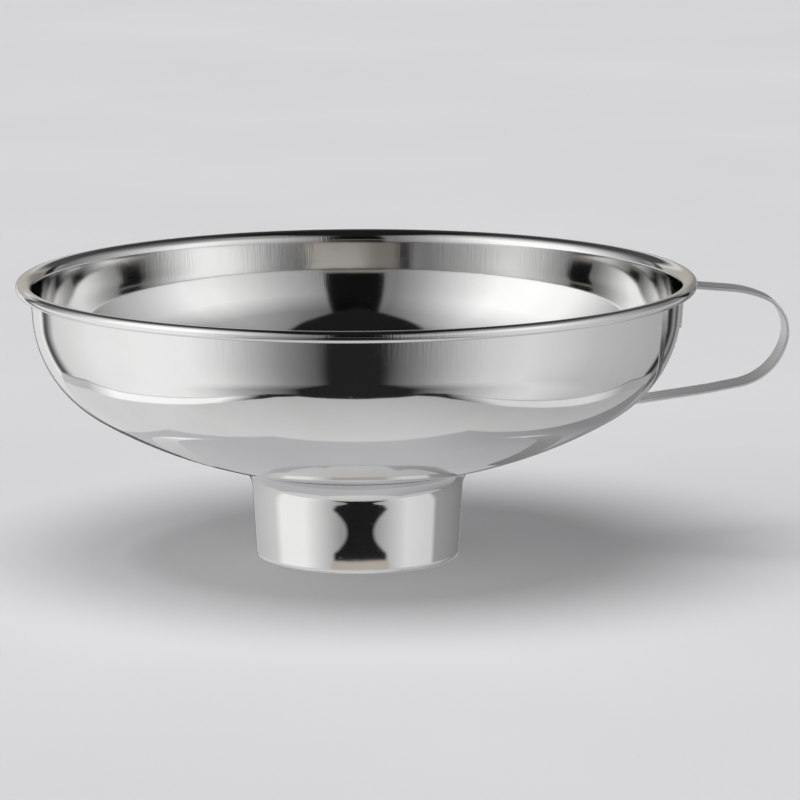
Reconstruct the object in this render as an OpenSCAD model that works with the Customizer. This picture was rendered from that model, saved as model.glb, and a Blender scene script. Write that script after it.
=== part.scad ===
// Wide-mouth canning funnel: a drawn sheet-metal bowl with a spout and a rolled rim,
// and a strip handle bent to a finger loop and spot-welded to the bowl by its two feet.
// Millimetres. Z is the funnel's axis, z = 0 is the spout's lower edge, +X is the handle's side.

/* [Bowl] */
// Outside diameter over the rolled rim
mouth_diameter = 140; // [134:1:146]
// Height from the spout's lower edge to the top of the rim
overall_height = 58; // [56:0.5:66]
// Outside diameter at the spout's lower edge
spout_diameter = 42; // [38:0.5:46]
// Length of the straight part of the spout
spout_length = 14.3; // [10:0.1:20]
// Thickness of the bowl's sheet
sheet_thickness = 0.5; // [0.4:0.05:0.7]
// Height of the rolled rim
rim_height = 2.36; // [2.2:0.02:2.8]

/* [Handle] */
// Width of the strip
strip_width = 7.4; // [6:0.1:10]
// Thickness of the strip
strip_thickness = 0.7; // [0.6:0.05:0.9]
// Angle of the handle round the funnel, from +X towards +Y
handle_angle = 4.3; // [-10:0.1:10]
// Length of each foot, measured along the strip
foot_length = 7.6; // [7:0.1:9]
// Diameter of one weld spot
weld_diameter = 2.8; // [2:0.1:3]

/* [Hidden] */
$fn = 96;

// ---- bowl: directions in degrees, turns positive to the left along the path ----
spout_lean = 3.2;        // the spout widens upwards by this
bowl_slope_low = 12.8;   // slope of the bowl's floor where it leaves the spout
bowl_slope_high = 31;    // slope where the floor meets the shoulder
wall_lean = 3.9;         // the wall widens upwards by this
throat_radius = 5.7;     // outside radius between spout and floor
shoulder_radius = 24.6;  // outside radius between floor and wall
half_sheet = sheet_thickness / 2;
curl_radius = rim_height / 2 - half_sheet;  // middle of the sheet, in the rolled edge
flare_radius = 2.05;                        // middle of the sheet, wall to rim
curl_turn = 115;                            // the rolled edge is two arcs of this

throat_mid = throat_radius + half_sheet;
shoulder_mid = shoulder_radius - half_sheet;
throat_turn = 90 - spout_lean - bowl_slope_low;
floor_turn = bowl_slope_high - bowl_slope_low;
shoulder_turn = 90 - wall_lean - bowl_slope_high;
rim_turn = 90 - wall_lean;

// The floor's radius and the wall's length are what makes the mouth and the height come out right.
start_x = spout_diameter / 2 - half_sheet * cos(spout_lean);
end_x = mouth_diameter / 2 - rim_height / 2;
end_z = overall_height - half_sheet;
fixed_x = start_x + spout_length * sin(spout_lean)
        + throat_mid * (cos(spout_lean) - sin(bowl_slope_low))
        + shoulder_mid * (cos(wall_lean) - sin(bowl_slope_high))
        + flare_radius * cos(wall_lean);
fixed_z = spout_length * cos(spout_lean)
        + throat_mid * (cos(bowl_slope_low) - sin(spout_lean))
        + shoulder_mid * (cos(bowl_slope_high) - sin(wall_lean))
        + flare_radius * (1 - sin(wall_lean));
fx = sin(bowl_slope_high) - sin(bowl_slope_low);
fz = cos(bowl_slope_low) - cos(bowl_slope_high);
need_x = end_x - fixed_x;
need_z = end_z - fixed_z;
det = fx * cos(wall_lean) - fz * sin(wall_lean);
floor_mid = (need_x * cos(wall_lean) - need_z * sin(wall_lean)) / det;
wall_length = (need_z * fx - need_x * fz) / det;

// A path is a list of [length] for a straight and [radius, turn] for an arc.
trim = 0.2;  // the sheet starts this far below z = 0 and is cut off flat there
bowl_start = [start_x - trim * sin(spout_lean), -trim * cos(spout_lean), 90 - spout_lean];
bowl_path = [
    [spout_length + trim],
    [throat_mid, -throat_turn],
    [floor_mid, floor_turn],
    [shoulder_mid, shoulder_turn],
    [wall_length],
    [flare_radius, -rim_turn],
    [curl_radius, -curl_turn],
    [curl_radius, -curl_turn],
];

function dir(a) = [cos(a), sin(a)];
function left(a) = [-sin(a), cos(a)];
function at(p) = [p[0], p[1]];
function pose(xy, a) = [xy[0], xy[1], a];
function centre(p, s) = at(p) + sign(s[1]) * s[0] * left(p[2]);
function step(p, s) = len(s) == 1
    ? pose(at(p) + s[0] * dir(p[2]), p[2])
    : pose(centre(p, s) - sign(s[1]) * s[0] * left(p[2] + s[1]), p[2] + s[1]);
function walk(p, path, n) = n == 0 ? p : step(walk(p, path, n - 1), path[n - 1]);

// How many chords keep an arc's outline within chord_error of the true curve.
chord_error = 0.008;
function chords(s, t) = len(s) == 1 ? 1 : ceil(abs(s[1]) / (2 * acos(1 - chord_error / (s[0] + t / 2))));
function portion(s, k) = len(s) == 1 ? [s[0] * k] : [s[0], s[1] * k];

// Points of one edge of a strip of thickness t that follows the path, from its i-th piece on.
function edge(p, path, t, side, i = 0) = i == len(path) ? [] : concat(
    [for (k = [1 : chords(path[i], t)])
        let (q = step(p, portion(path[i], k / chords(path[i], t)))) at(q) + side * t / 2 * left(q[2])],
    edge(step(p, path[i]), path, t, side, i + 1));
function full_edge(p, path, t, side) = concat([at(p) + side * t / 2 * left(p[2])], edge(p, path, t, side));
function backwards(v) = [for (i = [len(v) - 1 : -1 : 0]) v[i]];

module strip_outline(p, path, t) {
    polygon(concat(full_edge(p, path, t, 1), backwards(full_edge(p, path, t, -1))));
}

module funnel_bowl() {
    color("#c9cccd") rotate_extrude(angle = 360) difference() {
        strip_outline(bowl_start, bowl_path, sheet_thickness);
        translate([0, -2]) square([mouth_diameter, 2]);
    }
}

// ---- handle: the loop's middle line, from the upper foot round to the lower one ----
half_strip = strip_thickness / 2;
wall_top = walk(bowl_start, bowl_path, 5);
floor_pose = walk(bowl_start, bowl_path, 2);
floor_centre = centre(floor_pose, bowl_path[2]);

upper_bend = 1.3;          // radius of the bend above the upper foot
upper_drop = 5.2;          // the upper leg falls by this much
upper_gap = 0.15;          // between the upper leg and the rolled rim
loop_r1 = 21.7;            // the loop's three arcs
loop_r2 = 7.7;
loop_r3 = 12.3;
loop_t1 = 19.5;
loop_t2 = 77.7;
loop_t3 = 67.2;
leg_rise_turn = 2.9;       // the lower leg flattens by this near the bowl
leg_rise_radius = 110;
lower_bend = 3;            // radius of the bend at the lower foot
upper_leg = 7.8;           // straight of the upper leg beyond the rim's edge

// upper leg: a line that passes under the rolled rim
leg_x = mouth_diameter / 2 - rim_height / 2;
leg_z = overall_height - rim_height - upper_gap - half_strip / cos(upper_drop);
// upper foot: a line against the wall's outer face
foot_dir = 90 - wall_lean;
foot_xy = at(wall_top) - (half_sheet + half_strip) * left(foot_dir);
corner_run = (leg_x - foot_xy[0] + (foot_xy[1] - leg_z) * tan(wall_lean))
           / (1 + tan(upper_drop) * tan(wall_lean));
corner = [leg_x - corner_run, leg_z + corner_run * tan(upper_drop)];
bend_turn = foot_dir + upper_drop;
bend_reach = upper_bend * tan(bend_turn / 2);
leg_run = (mouth_diameter / 2 - corner[0]) / cos(upper_drop) - bend_reach + upper_leg;

strap_start = pose(corner - (bend_reach + foot_length) * dir(foot_dir), foot_dir);
strap_head = [
    [foot_length],
    [upper_bend, -bend_turn],
    [leg_run],
    [loop_r1, -loop_t1],
    [loop_r2, -loop_t2],
    [loop_r3, -loop_t3],
];
leg_top = walk(strap_start, strap_head, 6);

// lower leg: straight, then a slight flattening, then a bend on to the floor's underside
leg_dir = leg_top[2];
flat_dir = leg_dir - leg_rise_turn;
foot_radius = floor_mid + half_sheet + half_strip;
// the flattening is a corner at this distance along the leg
rise_reach = leg_rise_radius * tan(leg_rise_turn / 2);
rise_at = 6.5;
rise_corner = at(leg_top) + rise_at * dir(leg_dir);
// centre of the lower bend: lower_bend left of the flat line, and outside the foot's circle
line_xy = rise_corner + lower_bend * left(flat_dir);
rel = line_xy - floor_centre;
along = rel[0] * cos(flat_dir) + rel[1] * sin(flat_dir);
across = rel[0] * rel[0] + rel[1] * rel[1] - pow(foot_radius + lower_bend, 2);
flat_reach = -along - sqrt(along * along - across);
bend_centre = line_xy + flat_reach * dir(flat_dir);
touch = bend_centre - floor_centre;
touch_dir = atan2(touch[1], touch[0]) - 90;
lower_turn = touch_dir + 360 * round((flat_dir - touch_dir) / 360) - flat_dir;
lower_foot_turn = foot_length / foot_radius * 180 / PI;

strap_path = concat(strap_head, [
    [rise_at - rise_reach],
    [leg_rise_radius, -leg_rise_turn],
    [flat_reach - rise_reach],
    [lower_bend, lower_turn],
    [foot_radius, -lower_foot_turn],
]);

strap_end = walk(strap_start, strap_path, len(strap_path));
foot_corner = 1.6;        // radius of the corners at both ends
corner_in = 0.92 * foot_corner;
weld_inset = 2;           // from a foot's end to the nearer weld's centre
weld_pitch = 3.2;         // between the two welds of a foot
weld_depth = 0.12;        // the electrode's dimple

module radial_plane() {
    rotate([0, 0, handle_angle]) rotate([90, 0, 0]) children();
}

// Something placed at pose p of the loop, with its z along the strip's outward side.
module on_strip(p) {
    rotate([0, 0, handle_angle]) translate([p[0], 0, p[1]]) rotate([0, -p[2], 0]) children();
}

module corner_cut() {
    for (s = [-1, 1]) translate([0, s * strip_width / 2, -2]) linear_extrude(height = 4)
        difference() {
            translate([-1, s > 0 ? -corner_in : -1]) square([corner_in + 1, corner_in + 1]);
            translate([corner_in, -s * corner_in]) circle(r = foot_corner);
        }
}

function weld_pose_up(i) = walk(strap_start, [[weld_inset + i * weld_pitch]], 1);
function weld_pose_low(i) = walk(
    walk(strap_start, strap_path, len(strap_path) - 1),
    [[foot_radius, -lower_foot_turn * (1 - (weld_inset + i * weld_pitch) / foot_length)]], 1);

module at_welds() {
    for (i = [0, 1]) {
        on_strip(weld_pose_up(i)) mirror([0, 0, 1]) children();
        on_strip(weld_pose_low(i)) children();
    }
}

module handle_strap() {
    color("#b4b7b8") difference() {
        radial_plane() linear_extrude(height = strip_width, center = true)
            strip_outline(strap_start, strap_path, strip_thickness);
        on_strip(strap_start) corner_cut();
        on_strip(pose(at(strap_end), strap_end[2] + 180)) corner_cut();
        at_welds() translate([0, 0, -2]) cylinder(d = weld_diameter, h = 4);
    }
}

module spot_welds() {
    color("#8d9092") at_welds()
        translate([0, 0, -half_strip]) cylinder(d = weld_diameter, h = strip_thickness - weld_depth);
}

funnel_bowl();
handle_strap();
spot_welds();
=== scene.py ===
import bpy
import math
from mathutils import Matrix, Vector


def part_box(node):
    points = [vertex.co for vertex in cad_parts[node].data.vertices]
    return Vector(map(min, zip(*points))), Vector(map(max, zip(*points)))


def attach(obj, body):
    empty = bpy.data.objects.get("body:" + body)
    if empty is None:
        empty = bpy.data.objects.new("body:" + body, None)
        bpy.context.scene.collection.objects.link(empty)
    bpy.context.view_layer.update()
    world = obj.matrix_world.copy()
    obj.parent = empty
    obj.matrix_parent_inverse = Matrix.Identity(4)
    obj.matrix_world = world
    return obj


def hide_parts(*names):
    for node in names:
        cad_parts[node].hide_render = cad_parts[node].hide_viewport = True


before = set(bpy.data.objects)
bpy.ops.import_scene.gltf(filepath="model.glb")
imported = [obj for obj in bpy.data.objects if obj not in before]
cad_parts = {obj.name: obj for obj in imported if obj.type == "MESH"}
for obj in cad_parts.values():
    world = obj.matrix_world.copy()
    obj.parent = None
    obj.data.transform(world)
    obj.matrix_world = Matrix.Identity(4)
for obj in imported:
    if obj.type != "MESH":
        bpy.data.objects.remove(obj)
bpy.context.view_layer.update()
scene = bpy.context.scene
MM = 0.001


# ---------------------------------------------------------------- helpers
def rad(a):
    return math.radians(a)


def sin(a):
    return math.sin(rad(a))


def cos(a):
    return math.cos(rad(a))


def tan(a):
    return math.tan(rad(a))


def direction(a):
    return (cos(a), sin(a))


def left(a):
    return (-sin(a), cos(a))


def step(p, s):
    """One straight (length,) or arc (radius, turn) of a flat path; p is x, y, heading."""
    x, y, a = p
    if len(s) == 1:
        d = direction(a)
        return (x + s[0] * d[0], y + s[0] * d[1], a)
    r, turn = s
    k = r if turn > 0 else -r
    n0, n1 = left(a), left(a + turn)
    return (x + k * (n0[0] - n1[0]), y + k * (n0[1] - n1[1]), a + turn)


def samples(p, path, line_step, arc_step, max_turn):
    """Points along a path: x, y, heading, and the length walked so far."""
    out = [(p[0], p[1], p[2], 0.0)]
    walked = 0.0
    for s in path:
        length = s[0] if len(s) == 1 else s[0] * rad(abs(s[1]))
        if len(s) == 1:
            n = max(1, math.ceil(length / line_step))
        else:
            n = max(math.ceil(length / arc_step), math.ceil(abs(s[1]) / max_turn))
        for k in range(1, n + 1):
            part = (s[0] * k / n,) if len(s) == 1 else (s[0], s[1] * k / n)
            q = step(p, part)
            out.append((q[0], q[1], q[2], walked + length * k / n))
        walked += length
        p = step(p, s)
    return out


def link(obj):
    scene.collection.objects.link(obj)
    return obj


def mesh_object(name, verts, faces):
    mesh = bpy.data.meshes.new(name)
    mesh.from_pydata(verts, [], faces)
    mesh.validate()
    mesh.update()
    for poly in mesh.polygons:
        poly.use_smooth = True
    return link(bpy.data.objects.new(name, mesh))


# ---------------------------------------------------------------- the funnel's section
# lengths are in millimetres and angles in degrees, here and for the handle
MOUTH_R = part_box("funnel_bowl")[1].x / MM
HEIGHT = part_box("funnel_bowl")[1].z / MM
SHEET = 0.5
SPOUT_R = 21.0
SPOUT_LEN = 14.3
SPOUT_LEAN, SLOPE_LOW, SLOPE_HIGH, WALL_LEAN = 3.2, 12.8, 31.0, 3.9
THROAT_R = 5.7 + SHEET / 2
SHOULDER_R = 24.6 - SHEET / 2
RIM_H = 2.36
CURL_R = RIM_H / 2 - SHEET / 2
CURL_TURN = 230
FLARE_R = 2.05
EDGE_BREAK = 0.06
BOWL_SEGMENTS = 208


def bowl_path():
    """The sheet's middle line, from the spout's lower edge to the end of the rim's curl.

    The sloping floor's radius and the wall's length are solved so that it reaches MOUTH_R and HEIGHT.
    """
    sx = SPOUT_R - SHEET / 2 * cos(SPOUT_LEAN)
    need_x = (MOUTH_R - RIM_H / 2) - (
        sx + SPOUT_LEN * sin(SPOUT_LEAN) + THROAT_R * (cos(SPOUT_LEAN) - sin(SLOPE_LOW))
        + SHOULDER_R * (cos(WALL_LEAN) - sin(SLOPE_HIGH)) + FLARE_R * cos(WALL_LEAN))
    need_z = (HEIGHT - SHEET / 2) - (
        SPOUT_LEN * cos(SPOUT_LEAN) + THROAT_R * (cos(SLOPE_LOW) - sin(SPOUT_LEAN))
        + SHOULDER_R * (cos(SLOPE_HIGH) - sin(WALL_LEAN)) + FLARE_R * (1 - sin(WALL_LEAN)))
    fx, fz = sin(SLOPE_HIGH) - sin(SLOPE_LOW), cos(SLOPE_LOW) - cos(SLOPE_HIGH)
    det = fx * cos(WALL_LEAN) - fz * sin(WALL_LEAN)
    floor_r = (need_x * cos(WALL_LEAN) - need_z * sin(WALL_LEAN)) / det
    wall = (need_z * fx - need_x * fz) / det
    start = (sx, 0.0, 90 - SPOUT_LEAN)
    return start, [
        (SPOUT_LEN,),
        (THROAT_R, -(90 - SPOUT_LEAN - SLOPE_LOW)),
        (floor_r, SLOPE_HIGH - SLOPE_LOW),
        (SHOULDER_R, 90 - WALL_LEAN - SLOPE_HIGH),
        (wall,),
        (FLARE_R, -(90 - WALL_LEAN)),
        (CURL_R, -CURL_TURN),
    ]


START, PATH = bowl_path()
FLOOR_R = PATH[2][0]


def walk(p, path, n):
    """Where the first n pieces of a path end."""
    for s in path[:n]:
        p = step(p, s)
    return p


def make_bowl():
    """The sheet's section, half its thickness to each side of the middle line, turned round the axis."""
    mid = samples(START, PATH, line_step=0.9, arc_step=0.8, max_turn=6.0)
    half = SHEET / 2
    inner = [(x + half * left(a)[0], z + half * left(a)[1]) for x, z, a, _ in mid]
    outer = [(x - half * left(a)[0], z - half * left(a)[1]) for x, z, a, _ in mid]
    # the spout's lower edge is cut level, with its corners just broken
    inner[0] = (inner[0][0], EDGE_BREAK)
    outer[0] = (outer[0][0], EDGE_BREAK)
    foot = [(inner[0][0] + EDGE_BREAK, 0.0), (outer[0][0] - EDGE_BREAK, 0.0)]
    # the curl's cut edge, with its corners just broken
    ex, ez, ea, _ = mid[-1]
    d, n = direction(ea), left(ea)
    tip = []
    for aside in (half - EDGE_BREAK, EDGE_BREAK - half):
        tip.append((ex + aside * n[0] + EDGE_BREAK * d[0], ez + aside * n[1] + EDGE_BREAK * d[1]))
    loop = [foot[0]] + inner + tip + outer[::-1] + [foot[1]]
    verts, faces = [], []
    for k in range(BOWL_SEGMENTS):
        turn = 2 * math.pi * k / BOWL_SEGMENTS
        c, s = math.cos(turn), math.sin(turn)
        verts += [(x * c * MM, x * s * MM, z * MM) for x, z in loop]
    m = len(loop)
    for k in range(BOWL_SEGMENTS):
        k1 = (k + 1) % BOWL_SEGMENTS
        for i in range(m):
            j = (i + 1) % m
            faces.append((k * m + i, k * m + j, k1 * m + j, k1 * m + i))
    return mesh_object("bowl_sheet", verts, faces)


# ---------------------------------------------------------------- the handle's loop
STRIP_W, STRIP_T = 7.4, 0.7
HANDLE_ANGLE = 4.3
FOOT = 7.6
UPPER_BEND, UPPER_DROP, UPPER_GAP = 1.3, 5.2, 0.15
LOOP = [(21.7, -19.5), (7.7, -77.7), (12.3, -67.2)]
RISE_TURN, RISE_R, RISE_AT, LOWER_BEND, UPPER_LEG = 2.9, 110.0, 6.5, 3.0, 7.8
# the strip's rounded edges, its rounded end corners and the last bit that thins toward each end
EDGE_ROUND, END_CORNER, END_ROUND, END_THIN = 0.22, 1.6, 0.2, 0.45
FLAT_STEPS = 16
# each weld's distance from the strip's end, and the mark that the electrode leaves: a dish in a low lip
WELDS = (2.0, 5.2)
DISH_R, DISH_SOFT, DISH_DEPTH = 1.35, 0.09, 0.135
LIP_R, LIP_SOFT, LIP_HEIGHT = 1.55, 0.12, 0.02
MARK_R = 1.75


def strap_path():
    """The strip's middle line: along the wall, round the loop, and along the underside of the floor."""
    half, hs = STRIP_T / 2, SHEET / 2
    top = walk(START, PATH, 5)
    floor_at = walk(START, PATH, 2)
    n = left(floor_at[2])
    centre = (floor_at[0] + FLOOR_R * n[0], floor_at[1] + FLOOR_R * n[1])
    leg_x = MOUTH_R - RIM_H / 2
    leg_z = HEIGHT - RIM_H - UPPER_GAP - half / cos(UPPER_DROP)
    foot_dir = 90 - WALL_LEAN
    n = left(foot_dir)
    fx, fz = top[0] - (hs + half) * n[0], top[1] - (hs + half) * n[1]
    run = (leg_x - fx + (fz - leg_z) * tan(WALL_LEAN)) / (1 + tan(UPPER_DROP) * tan(WALL_LEAN))
    corner = (leg_x - run, leg_z + run * tan(UPPER_DROP))
    turn = foot_dir + UPPER_DROP
    reach = UPPER_BEND * tan(turn / 2)
    leg = (MOUTH_R - corner[0]) / cos(UPPER_DROP) - reach + UPPER_LEG
    d = direction(foot_dir)
    start = (corner[0] - (reach + FOOT) * d[0], corner[1] - (reach + FOOT) * d[1], foot_dir)
    path = [(FOOT,), (UPPER_BEND, -turn), (leg,)] + LOOP
    p = walk(start, path, len(path))
    flat = p[2] - RISE_TURN
    foot_r = FLOOR_R + hs + half
    rise = RISE_R * tan(RISE_TURN / 2)
    d = direction(p[2])
    n = left(flat)
    line = (p[0] + RISE_AT * d[0] + LOWER_BEND * n[0], p[1] + RISE_AT * d[1] + LOWER_BEND * n[1])
    rel = (line[0] - centre[0], line[1] - centre[1])
    d = direction(flat)
    along = rel[0] * d[0] + rel[1] * d[1]
    across = rel[0] ** 2 + rel[1] ** 2 - (foot_r + LOWER_BEND) ** 2
    far = -along - math.sqrt(along * along - across)
    bend = (line[0] + far * d[0], line[1] + far * d[1])
    touch = math.degrees(math.atan2(bend[1] - centre[1], bend[0] - centre[0])) - 90
    lower = touch + 360 * round((flat - touch) / 360) - flat
    return start, path + [(RISE_AT - rise,), (RISE_R, -RISE_TURN), (far - rise,), (LOWER_BEND, lower),
                          (foot_r, -math.degrees(FOOT / foot_r))]


S_START, S_PATH = strap_path()


def on_strip(x, z, heading, across, proud):
    """A point beside the strip's middle line, in metres in the row frame."""
    n = left(heading)
    rx, rz = x + proud * n[0], z + proud * n[1]
    c, s = cos(HANDLE_ANGLE), sin(HANDLE_ANGLE)
    return ((rx * c - across * s) * MM, (rx * s + across * c) * MM, rz * MM)


def quarter(cx, cz, start, r):
    """Four points of a quarter circle, clockwise from the start angle."""
    angles = [start - 90 * k / 4 for k in range(1, 5)]
    return [(cx + r * cos(a), cz + r * sin(a)) for a in angles]


def strip_section(half_w, thin):
    """Points (across, proud) round the strip, whose edges are rounded by tumbling."""
    half_t = STRIP_T / 2 * thin
    # where the strip thins, the rounding stays just under half the thickness
    r = min(EDGE_ROUND, half_t * 0.9)
    flat = half_w - r
    steps = [flat * (2 * i / FLAT_STEPS - 1) for i in range(FLAT_STEPS + 1)]
    pts = [(x, half_t) for x in steps]
    pts += quarter(flat, half_t - r, 90, r) + quarter(flat, r - half_t, 0, r)
    pts += [(x, -half_t) for x in steps[-2::-1]]
    pts += quarter(-flat, r - half_t, 270, r) + quarter(-flat, half_t - r, 180, r)
    return pts[:-1]


def weld_dish(length, total, across, side):
    """How far an electrode has pressed the free face in, at this place."""
    depth = 0.0
    for from_end, free_side in ((length, -1), (total - length, 1)):
        if from_end > FOOT or free_side != side:
            continue
        for weld in WELDS:
            d = math.hypot(from_end - weld, across)
            if d < MARK_R:
                dish = 1 / (1 + math.exp((d - DISH_R) / DISH_SOFT))
                lip = math.exp(-((d - LIP_R) / LIP_SOFT) ** 2)
                depth = DISH_DEPTH * dish - LIP_HEIGHT * lip
    return depth


def make_strap():
    mid = samples(S_START, S_PATH, line_step=0.35, arc_step=0.35, max_turn=5.0)
    total = mid[-1][3]
    verts, faces = [], []
    for x, z, a, length in mid:
        end = min(length, total - length)
        half_w, thin = STRIP_W / 2, 1.0
        if end < END_CORNER:
            half_w += math.sqrt(max(END_CORNER ** 2 - (END_CORNER - end) ** 2, 0.0)) - END_CORNER
        if end < END_ROUND:
            thin = END_THIN + (1 - END_THIN) * math.sqrt(max(1 - ((END_ROUND - end) / END_ROUND) ** 2, 0))
        ring = strip_section(half_w, thin)
        for across, proud in ring:
            side = 1 if proud > 0 else -1
            verts.append(on_strip(x, z, a, across, proud - side * weld_dish(length, total, across, side)))
    ring_n = len(ring)
    for k in range(len(mid) - 1):
        for i in range(ring_n):
            j = (i + 1) % ring_n
            faces.append((k * ring_n + i, k * ring_n + j, (k + 1) * ring_n + j, (k + 1) * ring_n + i))
    faces.append(tuple(range(ring_n))[::-1])
    last = (len(mid) - 1) * ring_n
    faces.append(tuple(last + i for i in range(ring_n)))
    return mesh_object("handle_strip", verts, faces)


# ---------------------------------------------------------------- materials
def new_material(name, **sockets):
    mat = bpy.data.materials.new(name)
    mat.use_nodes = True
    tree = mat.node_tree
    shader = tree.nodes["Principled BSDF"]
    for key, value in sockets.items():
        shader.inputs[key.replace("_", " ")].default_value = value
    return mat, tree, shader


def node(tree, kind, **props):
    n = tree.nodes.new(kind)
    for key, value in props.items():
        setattr(n, key, value)
    return n


def math_node(tree, op, a, b=None, c=None, clamp=False):
    n = node(tree, "ShaderNodeMath", operation=op, use_clamp=clamp)
    for i, v in enumerate((a, b, c)):
        if v is None:
            continue
        if isinstance(v, (int, float)):
            n.inputs[i].default_value = v
        else:
            tree.links.new(v, n.inputs[i])
    return n.outputs[0]


def noise(tree, vector, scale, detail, rough=0.55):
    n = node(tree, "ShaderNodeTexNoise")
    n.inputs["Scale"].default_value = scale
    n.inputs["Detail"].default_value = detail
    n.inputs["Roughness"].default_value = rough
    tree.links.new(vector, n.inputs["Vector"])
    return n.outputs["Fac"]


def ramp(tree, fac, stops):
    n = node(tree, "ShaderNodeValToRGB")
    while len(n.color_ramp.elements) > 1:
        n.color_ramp.elements.remove(n.color_ramp.elements[-1])
    n.color_ramp.elements[0].position = stops[0][0]
    n.color_ramp.elements[0].color = stops[0][1]
    for pos, col in stops[1:]:
        n.color_ramp.elements.new(pos).color = col
    tree.links.new(fac, n.inputs["Fac"])
    return n.outputs["Color"]


def grey(v):
    return (v, v, v, 1.0)


def soft_step(tree, value, start, end):
    """0 at start and before it, 1 at end and past it; end may be the smaller."""
    return math_node(tree, "MULTIPLY_ADD", value, 1 / (end - start), -start / (end - start), clamp=True)


def times(tree, a, b):
    return math_node(tree, "MULTIPLY", a, b)


def minus(tree, a, b):
    return math_node(tree, "SUBTRACT", a, b)


def between(tree, value, low, low_end, high_end, high):
    """0 outside low to high, 1 inside low_end to high_end."""
    return times(tree, soft_step(tree, value, low, low_end), soft_step(tree, value, high, high_end))


def mixed(tree, kind, fac, a, b):
    n = node(tree, "ShaderNodeMix", data_type="RGBA", blend_type=kind)
    for i, v in ((0, fac), (6, a), (7, b)):
        if isinstance(v, (int, float, tuple)):
            n.inputs[i].default_value = v
        else:
            tree.links.new(v, n.inputs[i])
    return n.outputs[2]


def coordinates(tree, kind="Object"):
    return node(tree, "ShaderNodeTexCoord").outputs[kind]


def split(tree, vector):
    sep = node(tree, "ShaderNodeSeparateXYZ")
    tree.links.new(vector, sep.inputs[0])
    return sep.outputs


def joined(tree, *parts):
    n = node(tree, "ShaderNodeCombineXYZ")
    for i, v in enumerate(parts):
        tree.links.new(v, n.inputs[i])
    return n.outputs[0]


def stretched(tree, coord, scale, rotation=(0.0, 0.0, 0.0)):
    n = node(tree, "ShaderNodeMapping")
    n.inputs["Scale"].default_value = scale
    n.inputs["Rotation"].default_value = rotation
    tree.links.new(coord, n.inputs["Vector"])
    return n.outputs[0]


def bump(tree, height, strength, metres, under=None):
    n = node(tree, "ShaderNodeBump")
    n.inputs["Strength"].default_value = strength
    n.inputs["Distance"].default_value = metres
    tree.links.new(height, n.inputs["Height"])
    if under:
        tree.links.new(under, n.inputs["Normal"])
    return n.outputs[0]


def spun_steel():
    """Polished sheet: faint rings from spinning and polishing, smears, and short hairlines."""
    mat, tree, shader = new_material("polished_sheet_steel", Metallic=1.0)
    coord = coordinates(tree)
    x, y, z = split(tree, coord)
    radius = math_node(tree, "SQRT", math_node(tree, "ADD", times(tree, x, x), times(tree, y, y)))
    turn = math_node(tree, "ARCTAN2", y, x)
    # rings: thin along the section, long round the axis
    rings = joined(tree, times(tree, radius, 2600.0), times(tree, z, 2600.0), times(tree, turn, 3.0))
    ring_fac = noise(tree, rings, scale=1.0, detail=4.0)
    smear = noise(tree, coord, scale=38.0, detail=4.0)
    # draw marks: fine upright streaks, in patches just below the rim
    marks = joined(tree, times(tree, turn, 150.0), times(tree, z, 120.0))
    mark_fac = noise(tree, marks, scale=1.0, detail=3.0)
    near_rim = soft_step(tree, z, 0.045, 0.055)
    patchy = noise(tree, coord, scale=22.0, detail=2.0)
    near_rim = times(tree, near_rim, math_node(tree, "MULTIPLY_ADD", patchy, 6.0, -2.6, clamp=True))
    # hairlines: short scratches, mostly one way
    hair = stretched(tree, coord, (1.0, 14.0, 6.0), (0.4, 0.7, 0.9))
    hair_fac = noise(tree, hair, scale=420.0, detail=2.0)
    rough = math_node(tree, "MULTIPLY_ADD", smear, 0.04, 0.02)
    rough = math_node(tree, "MULTIPLY_ADD", ring_fac, 0.03, rough)
    scratch = times(tree, math_node(tree, "GREATER_THAN", hair_fac, 0.70), 0.08)
    rough = math_node(tree, "ADD", rough, scratch)
    rough = math_node(tree, "MULTIPLY_ADD", near_rim, 0.05, rough, clamp=True)
    tree.links.new(rough, shader.inputs["Roughness"])
    tint = ramp(tree, smear, [(0.30, (0.77, 0.768, 0.760, 1)), (0.70, (0.83, 0.83, 0.826, 1))])
    tree.links.new(tint, shader.inputs["Base Color"])
    relief = bump(tree, ring_fac, strength=0.12, metres=0.000004)
    relief = bump(tree, times(tree, mark_fac, near_rim), strength=0.9, metres=0.00002, under=relief)
    # the sheet isn't quite true: slow waves a few millimetres long
    wave = noise(tree, coord, scale=130.0, detail=2.0)
    relief = bump(tree, wave, strength=0.6, metres=0.00002, under=relief)
    tree.links.new(relief, shader.inputs["Normal"])
    return mat


def strip_steel():
    """Tumbled strip: satin, with fine marks along its length."""
    mat, tree, shader = new_material("tumbled_strip_steel", Metallic=1.0)
    coord = coordinates(tree)
    grain = noise(tree, stretched(tree, coord, (1.0, 9.0, 1.0)), scale=900.0, detail=3.0)
    cloud = noise(tree, coord, scale=120.0, detail=3.0)
    rough = math_node(tree, "MULTIPLY_ADD", grain, 0.14, 0.36)
    rough = math_node(tree, "MULTIPLY_ADD", cloud, 0.08, rough)
    tree.links.new(rough, shader.inputs["Roughness"])
    tint = ramp(tree, cloud, [(0.3, (0.90, 0.91, 0.93, 1)), (0.7, (0.95, 0.96, 0.975, 1))])
    tree.links.new(tint, shader.inputs["Base Color"])
    tree.links.new(bump(tree, grain, strength=0.10, metres=0.00002), shader.inputs["Normal"])
    return mat


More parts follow.
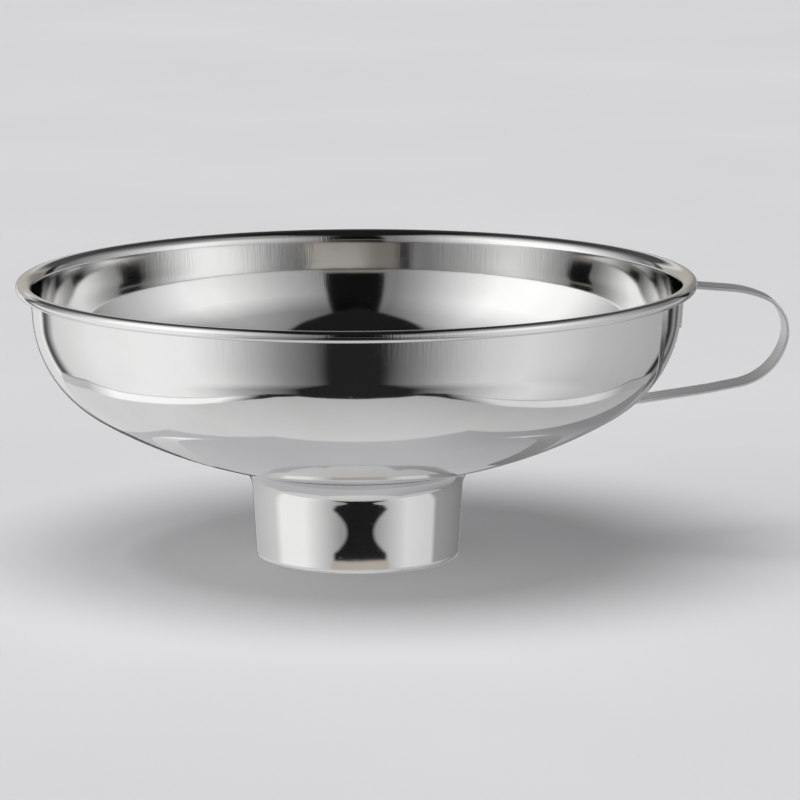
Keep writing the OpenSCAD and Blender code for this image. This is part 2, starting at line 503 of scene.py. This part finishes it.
def weld_steel():
    """Weld spots: duller and slightly straw-brown from the heat."""
    mat, tree, shader = new_material("weld_spot_steel", Metallic=1.0)
    cloud = noise(tree, coordinates(tree), scale=700.0, detail=4.0)
    tint = ramp(tree, cloud, [(0.35, (0.36, 0.33, 0.30, 1)), (0.7, (0.56, 0.54, 0.52, 1))])
    tree.links.new(tint, shader.inputs["Base Color"])
    tree.links.new(math_node(tree, "MULTIPLY_ADD", cloud, 0.2, 0.30), shader.inputs["Roughness"])
    tree.links.new(bump(tree, cloud, strength=0.3, metres=0.00004), shader.inputs["Normal"])
    return mat


def floor_paint():
    """Pale matt paint, very slightly cloudy."""
    mat, tree, shader = new_material("studio_floor", Roughness=0.7)
    cloud = noise(tree, coordinates(tree), scale=6.0, detail=3.0)
    tint = ramp(tree, cloud, [(0.3, (0.76, 0.755, 0.775, 1)), (0.7, (0.80, 0.795, 0.81, 1))])
    tree.links.new(tint, shader.inputs["Base Color"])
    return mat


def emitter(name):
    """A material that only glows: the material, its tree, and its emission node."""
    mat = bpy.data.materials.new(name)
    mat.use_nodes = True
    tree = mat.node_tree
    tree.nodes.remove(tree.nodes["Principled BSDF"])
    return mat, tree, node(tree, "ShaderNodeEmission")


def across(tree, x, stops):
    """A ramp over the table's width, from stops in metres from its middle."""
    fac = math_node(tree, "MULTIPLY_ADD", x, 1 / TABLE_SPAN, 0.5)
    return ramp(tree, fac, [(v / TABLE_SPAN + 0.5, grey(g)) for v, g in stops])


def table_shade(tree, x, y):
    """1 in the funnel's shade on the table: behind its front line and between its slanting sides."""
    left_side = math_node(tree, "MULTIPLY_ADD", y, SHADE_LEFT_SLANT, x)
    right_side = math_node(tree, "MULTIPLY_ADD", y, SHADE_RIGHT_SLANT, x)
    zone = soft_step(tree, y, *SHADE_FRONT)
    zone = math_node(tree, "MINIMUM", zone, soft_step(tree, left_side, *SHADE_LEFT))
    zone = math_node(tree, "MINIMUM", zone, soft_step(tree, right_side, *SHADE_RIGHT))
    return math_node(tree, "MINIMUM", zone, soft_step(tree, x, *SHADE_END))


def table_glow(name, stops, shaded=None):
    """A lit sheet that only reflections show; stops give its brightness across, from left to right."""
    mat, tree, emit = emitter(name)
    x, y, _ = split(tree, coordinates(tree))
    colour = across(tree, x, stops)
    if shaded:
        # level from the funnel backward, duller toward the front edge and in the shade
        lit = node(tree, "ShaderNodeVectorMath", operation="SCALE")
        tree.links.new(colour, lit.inputs[0])
        depth = math_node(tree, "MULTIPLY_ADD", y, TABLE_FALL, TABLE_AT_MIDDLE)
        tree.links.new(math_node(tree, "MINIMUM", depth, 1.0), lit.inputs["Scale"])
        shade = mixed(tree, "MULTIPLY", 1.0, across(tree, x, shaded), SHADE_COOL)
        colour = mixed(tree, "MIX", table_shade(tree, x, y), lit.outputs[0], shade)
    else:
        front = soft_step(tree, y, *BORDER_BACK)
        dulled = ramp(tree, front, [(0, grey(BORDER_BACK_TIMES)), (1, grey(1.0))])
        colour = mixed(tree, "MULTIPLY", 1.0, colour, dulled)
    tree.links.new(colour, emit.inputs["Color"])
    tree.links.new(emit.outputs[0], tree.nodes["Material Output"].inputs["Surface"])
    return mat


# the studio, seen from the funnel: degrees round (0 is toward the camera, minus is left) or up, and
# brightness. PEAK is the brightness that a ramp's 1 stands for. Two or four degrees in brackets are where soft
# edges start and end.
PEAK = 1.3
SIDES = [(-180, 0.07), (-142, 0.08), (-128, 0.22), (-108, 0.68), (-90, 1.16), (-72, 1.28), (-56, 1.22),
         (-40, 0.80), (-26, 0.44), (-15, 0.22), (-10.8, 0.22), (-9.8, 0.006), (11.2, 0.006), (12.2, 0.30),
         (28, 0.52), (42, 0.80), (56, 1.04), (68, 1.04), (80, 0.80), (92, 0.60), (112, 0.38), (130, 0.22),
         (142, 0.08), (180, 0.07)]
LEFT_UP = [(0, 1.0), (33, 1.0), (42, 0.84), (50, 0.64), (58, 0.48), (66, 0.20), (73, 0.10)]
RIGHT_UP = [(0, 0.92), (20, 1.0), (29, 1.0), (38, 0.72), (46, 0.46), (62, 0.32), (68, 0.12)]
BELOW = [(-180, 0.10), (-171, 0.14), (-165, 0.75), (-152, 0.82), (-149, 1.0), (-146, 0.10), (-143, 0.08),
         (-140, 0.35), (-136, 0.76), (-110, 0.92), (-84, 1.00), (-62, 0.97), (-50, 0.80), (-38, 0.52),
         (-26, 0.28), (-15, 0.13), (-10, 0.018), (9, 0.018), (14, 0.12), (24, 0.28), (34, 0.48), (48, 0.70),
         (64, 0.80), (80, 0.68), (95, 0.56), (142, 0.45), (145, 0.03), (148, 0.03), (153, 0.32), (157, 0.06),
         (163, 0.38), (180, 0.20)]
# the low band of wall behind the funnel: brightness, extent, its warm middle, and what is brighter above it
BACK = [(-180, 0.46), (-150, 0.50), (-144.5, 0.52), (-143, 0.10), (-137.5, 0.10), (-136, 0.40), (136, 0.28),
        (140, 0.24), (141.5, 0.02), (148.5, 0.02), (150, 0.23), (168, 0.25), (177, 0.42), (180, 0.46)]
BACK_SIDES, BACK_TOP, BACK_SLANT = (128.0, 138.0), (8.0, 2.0), 0.09
WARM_UP, WARM_SIDES = (2.0, 4.0, 12.0, 14.0), (143.0, 146.0)
HIGHER_UP, HIGHER_TIMES = (12.0, 15.0), 1.5
# the ceiling's edge over the middle, how much it climbs with each degree aside, its highest, and its softness
CEILING_MIDDLE, CEILING_CLIMB, CEILING_TOP, CEILING_EDGE = 44.0, 0.45, 69.0, (-1.0, 1.5)
# a low warm strip at the foot of the gap
FOOT_UP, FOOT_SIDES = (3.5, 5.0, 6.5, 8.0), (13.0, 11.5)
# how much the gap widens well below the horizon
WIDER_DOWN, WIDER_BY = (-33.0, -38.0), 13.0
# how the left and the right softbox meet, in front and behind
MEET_FRONT, MEET_BEHIND = (-1.0, 1.0), (120.0, 178.0)
HORIZON = (-1.0, 1.0)
# brightness of the dark gap on the card and of the ceiling; colours of the card's low strip, of the strip at
# the foot of the gap, of the wall behind the funnel, and of the wall that the camera sees
DARK = 0.012
STRIP_WARM = (0.50, 0.46, 0.41, 1)
FOOT_WARM = (0.25 / PEAK, 0.23 / PEAK, 0.20 / PEAK, 1)
BACK_WARM = (1.05, 0.98, 0.87, 1)
WALL_PALE = (0.44, 0.44, 0.45, 1)
# the light on the floor: its strength, and its width in degrees
TOP_LIGHT, TOP_SPREAD = 1.9, 50
# the lit table's top, a little below the funnel's foot: its depth, outline and brightness from left to right.
# The wider sheets under it are its pale border and a line round that. All in metres.
TABLE_DEPTH = 0.039
TABLE_SPAN = 0.4
# the table's brightness at the funnel and how fast it falls off toward the front; the border's dull back half
TABLE_AT_MIDDLE, TABLE_FALL = 1.14, 2.8
BORDER_BACK, BORDER_BACK_TIMES = (0.06, 0.01), 0.5
# the funnel's shade on the table: where its front, its left end and its slanting sides are, and its tint
SHADE_FRONT, SHADE_END = (-0.0475, -0.0455), (-0.079, -0.077)
SHADE_LEFT, SHADE_LEFT_SLANT = (-0.075, -0.073), 0.8
SHADE_RIGHT, SHADE_RIGHT_SLANT = (0.074, 0.072), -0.5
SHADE_COOL = (0.985, 0.985, 1.02, 1)
TABLE = [(-0.048, -0.142), (0.048, -0.142), (0.062, -0.131), (0.074, -0.108), (0.097, -0.050), (0.117, 0.005),
         (0.140, 0.070), (0.140, 0.150), (-0.150, 0.150), (-0.150, 0.060), (-0.118, -0.030), (-0.095, -0.080),
         (-0.077, -0.114), (-0.063, -0.132)]
TABLE_LIT = [(-0.15, 0.73), (0.0, 0.70), (0.05, 0.63), (0.10, 0.49), (0.15, 0.42)]
TABLE_SHADE = [(-0.15, 0.54), (0.02, 0.53), (0.06, 0.40), (0.085, 0.27), (0.15, 0.25)]
BORDER_LIT = [(-0.19, 1.15), (-0.095, 1.10), (-0.076, 0.02), (0.07, 0.02), (0.09, 0.78), (0.19, 0.82)]
LINE_LIT = [(-0.19, 0.78), (-0.095, 0.70), (-0.076, 0.015), (0.07, 0.015), (0.09, 0.50), (0.19, 0.52)]

# a curved card round the spout, lit on its inside: its radius, height span and half angle, in millimetres and
# degrees, and its brightness from left to right
CARD_R, CARD_LOW, CARD_TOP, CARD_HALF = 52.0, -11.5, 4.5, 140.0
CARD_COLUMNS = 56
CARD_LIT = [(-140, 0.5), (-86, 0.7), (-77, 1.0), (-50, 1.0), (-15, 0.35), (15, 0.35), (45, 0.8), (74, 0.7),
            (79, 0.35), (140, 0.2)]
# the gap between its windows: the height where it is narrowest, its middle, half its narrowest and widest
# angle, how far above and below it is widest, and how soft its edge is; then the low strip's soft edges
GAP_MIDDLE, GAP_TURN, GAP_NARROW, GAP_WIDE, GAP_REACH = -1.5, 2.0, 11.5, 23.5, 4.9
GAP_EDGE = (2.0, -1.5)
STRIP_TOP, STRIP_SIDES = (-7.6, -8.2), (27.0, 25.0)


def degrees_round(tree, x, y):
    """Degrees round from the camera's side, minus to the left."""
    toward = times(tree, y, -1.0)
    return times(tree, math_node(tree, "ARCTAN2", x, toward), 180 / math.pi)


def card_glow():
    """Two soft windows with a dark gap between them, narrowest half-way up, over a low warm strip."""
    mat, tree, emit = emitter("spout_card")
    x, y, z = split(tree, coordinates(tree))
    turn = degrees_round(tree, x, y)
    fac = math_node(tree, "MULTIPLY_ADD", turn, 0.5 / CARD_HALF, 0.5)
    colour = ramp(tree, fac, [(a * 0.5 / CARD_HALF + 0.5, grey(v)) for a, v in CARD_LIT])
    height = times(tree, z, 1 / MM)
    side = math_node(tree, "ABSOLUTE", minus(tree, turn, GAP_TURN))
    bulge = math_node(tree, "MULTIPLY_ADD", height, 1 / GAP_REACH, -GAP_MIDDLE / GAP_REACH)
    widening = times(tree, bulge, bulge)
    edge = math_node(tree, "MULTIPLY_ADD", widening, GAP_WIDE - GAP_NARROW, GAP_NARROW)
    edge = math_node(tree, "MINIMUM", edge, GAP_WIDE)
    gap = soft_step(tree, minus(tree, side, edge), *GAP_EDGE)
    colour = mixed(tree, "MIX", gap, colour, grey(DARK))
    low = times(tree, soft_step(tree, height, *STRIP_TOP), soft_step(tree, side, *STRIP_SIDES))
    colour = mixed(tree, "MIX", low, colour, STRIP_WARM)
    tree.links.new(colour, emit.inputs["Color"])
    one_side = node(tree, "ShaderNodeMixShader")
    tree.links.new(node(tree, "ShaderNodeNewGeometry").outputs["Backfacing"], one_side.inputs[0])
    tree.links.new(emit.outputs[0], one_side.inputs[1])
    tree.links.new(node(tree, "ShaderNodeBsdfTransparent").outputs[0], one_side.inputs[2])
    tree.links.new(one_side.outputs[0], tree.nodes["Material Output"].inputs["Surface"])
    return mat


def card_mesh():
    verts, faces = [], []
    for k in range(CARD_COLUMNS + 1):
        a = CARD_HALF * (2 * k / CARD_COLUMNS - 1)
        x, y = CARD_R * sin(a) * MM, -CARD_R * cos(a) * MM
        verts += [(x, y, CARD_LOW * MM), (x, y, CARD_TOP * MM)]
    for k in range(CARD_COLUMNS):
        faces.append((2 * k, 2 * k + 1, 2 * k + 3, 2 * k + 2))
    return mesh_object("spout_card", verts, faces)


def studio_world():
    """Tall softboxes left and right, a dark gap toward the camera, a dark ceiling, and a dim warm back."""
    world = bpy.data.worlds.new("studio_world")
    scene.world = world
    world.use_nodes = True
    tree = world.node_tree
    x, y, z = split(tree, coordinates(tree, "Generated"))
    turn = degrees_round(tree, x, y)
    up = times(tree, math_node(tree, "ARCSINE", z), 180 / math.pi)
    side = math_node(tree, "ABSOLUTE", turn)

    def around(angle, stops):
        fac = math_node(tree, "MULTIPLY_ADD", angle, 1 / 360, 0.5)
        return ramp(tree, fac, [((a + 180) / 360, grey(v / PEAK)) for a, v in stops])

    def upward(stops):
        fac = times(tree, up, 1 / 90)
        return ramp(tree, fac, [(a / 90, grey(v)) for a, v in stops])

    # the softboxes: the left one and the right one, half of each behind the funnel
    which = soft_step(tree, turn, *MEET_FRONT)
    behind = soft_step(tree, side, *MEET_BEHIND)
    which = math_node(tree, "MULTIPLY_ADD", behind, minus(tree, 0.5, which), which)
    lit = mixed(tree, "MIX", which, upward(LEFT_UP), upward(RIGHT_UP))
    above = mixed(tree, "MULTIPLY", 1.0, around(turn, SIDES), lit)
    # the ceiling starts lower toward the middle, between the softboxes
    edge = math_node(tree, "MULTIPLY_ADD", side, CEILING_CLIMB, CEILING_MIDDLE)
    edge = math_node(tree, "MINIMUM", edge, CEILING_TOP)
    ceiling = soft_step(tree, minus(tree, up, edge), *CEILING_EDGE)
    above = mixed(tree, "MIX", ceiling, above, grey(DARK / PEAK))
    # a low warm strip at the foot of the gap
    foot = times(tree, between(tree, up, *FOOT_UP), soft_step(tree, side, *FOOT_SIDES))
    above = mixed(tree, "MIX", foot, above, FOOT_WARM)
    # behind the funnel: a low band of wall, warm in its middle, under a dim room
    warm = times(tree, soft_step(tree, side, *WARM_SIDES), between(tree, up, *WARM_UP))
    tint = mixed(tree, "MIX", warm, grey(1.0), BACK_WARM)
    wall = mixed(tree, "MULTIPLY", 1.0, around(turn, BACK), tint)
    higher = ramp(tree, soft_step(tree, up, *HIGHER_UP), [(0, grey(1.0)), (1, grey(HIGHER_TIMES))])
    wall = mixed(tree, "MULTIPLY", 1.0, wall, higher)
    slant = minus(tree, up, times(tree, side, BACK_SLANT))
    low = times(tree, soft_step(tree, side, *BACK_SIDES), soft_step(tree, slant, *BACK_TOP))
    above = mixed(tree, "MIX", low, above, wall)
    # below the horizon the gap widens
    wider = times(tree, soft_step(tree, up, *WIDER_DOWN), WIDER_BY)
    shrunk = math_node(tree, "MAXIMUM", minus(tree, side, wider), 0.0)
    below = around(times(tree, shrunk, math_node(tree, "SIGN", turn)), BELOW)
    colour = mixed(tree, "MIX", soft_step(tree, up, *HORIZON), below, above)
    # the camera sees a plain pale wall past the floor
    seen = node(tree, "ShaderNodeLightPath").outputs["Is Camera Ray"]
    colour = mixed(tree, "MIX", seen, colour, WALL_PALE)
    back = tree.nodes["Background"]
    back.inputs["Strength"].default_value = PEAK
    tree.links.new(colour, back.inputs["Color"])


# ---------------------------------------------------------------- build
bowl = make_bowl()
bowl.data.materials.append(spun_steel())
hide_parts("funnel_bowl")
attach(bowl, "root")

strap = make_strap()
strap.data.materials.append(strip_steel())
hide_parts("handle_strap")
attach(strap, "root")

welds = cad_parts["spot_welds"]
welds.data.materials.clear()
welds.data.materials.append(weld_steel())

# ---------------------------------------------------------------- floor, lights, camera
bpy.ops.mesh.primitive_circle_add(vertices=128, radius=6.0, fill_type="NGON", location=(0, 0, -0.0002))
floor = bpy.context.object
floor.name = "studio_floor"
floor.data.materials.append(floor_paint())
floor.visible_glossy = False
floor.visible_shadow = False

# sheets that only reflections show: how far below the table's top, how much wider and longer, and brightness
sheets = []
for name, lower, wide, long, mat in (
        ("table_top", 0.0, 1.0, 1.0, table_glow("table_top", TABLE_LIT, TABLE_SHADE)),
        ("table_border", 0.0004, 1.15, 1.03, table_glow("table_border", BORDER_LIT)),
        ("table_line", 0.0008, 1.18, 1.04, table_glow("table_line", LINE_LIT))):
    sheet = mesh_object(name, [(x * wide, y * long, 0.0) for x, y in TABLE], [tuple(range(len(TABLE)))])
    sheet.location.z = -TABLE_DEPTH - lower
    sheet.data.materials.append(mat)
    sheets.append(sheet)
card = card_mesh()
card.data.materials.append(card_glow())
sheets.append(card)
for sheet in sheets:
    sheet.visible_camera = False
    sheet.visible_diffuse = False
    sheet.visible_shadow = False
studio_world()

# lights the floor evenly from above, without a mark of its own in the steel
top_data = bpy.data.lights.new("top_light", "SUN")
top_data.angle = rad(TOP_SPREAD)
top_data.energy = TOP_LIGHT
top = link(bpy.data.objects.new("top_light", top_data))
top.rotation_euler = Vector((0.15, 0.10, -1.5)).to_track_quat("-Z", "Y").to_euler()
top.visible_glossy = False

# camera: from the front and a little above, through a long lens; in degrees, metres and, for the lens, mm
ELEVATION, DISTANCE = 10.5, 0.9036
TARGET = Vector((0, 0, 0.030))
AIM_LEFT, AIM_UP, ROLL = 0.5602, 0.1294, -0.3094
LENS = 196.53
e = rad(ELEVATION)
place = TARGET + Vector((0, -DISTANCE * math.cos(e), DISTANCE * math.sin(e)))
ahead = Vector((0, math.cos(e), -math.sin(e)))
right = Vector((1, 0, 0))
up = right.cross(ahead)
yaw = Matrix.Rotation(rad(-AIM_LEFT), 3, up)
ahead, right = yaw @ ahead, yaw @ right
pitch = Matrix.Rotation(rad(AIM_UP), 3, right)
ahead, up = pitch @ ahead, pitch @ up
roll = Matrix.Rotation(rad(-ROLL), 3, ahead)
right, up = roll @ right, roll @ up
cam_data = bpy.data.cameras.new("camera")
cam_data.sensor_width = 36.0
cam_data.lens = LENS
cam_data.clip_start = 0.01
cam_data.clip_end = 50
cam = link(bpy.data.objects.new("camera", cam_data))
m = Matrix((right, up, -ahead)).transposed().to_4x4()
m.translation = place
cam.matrix_world = m
scene.camera = cam
scene.view_settings.view_transform = "Standard"
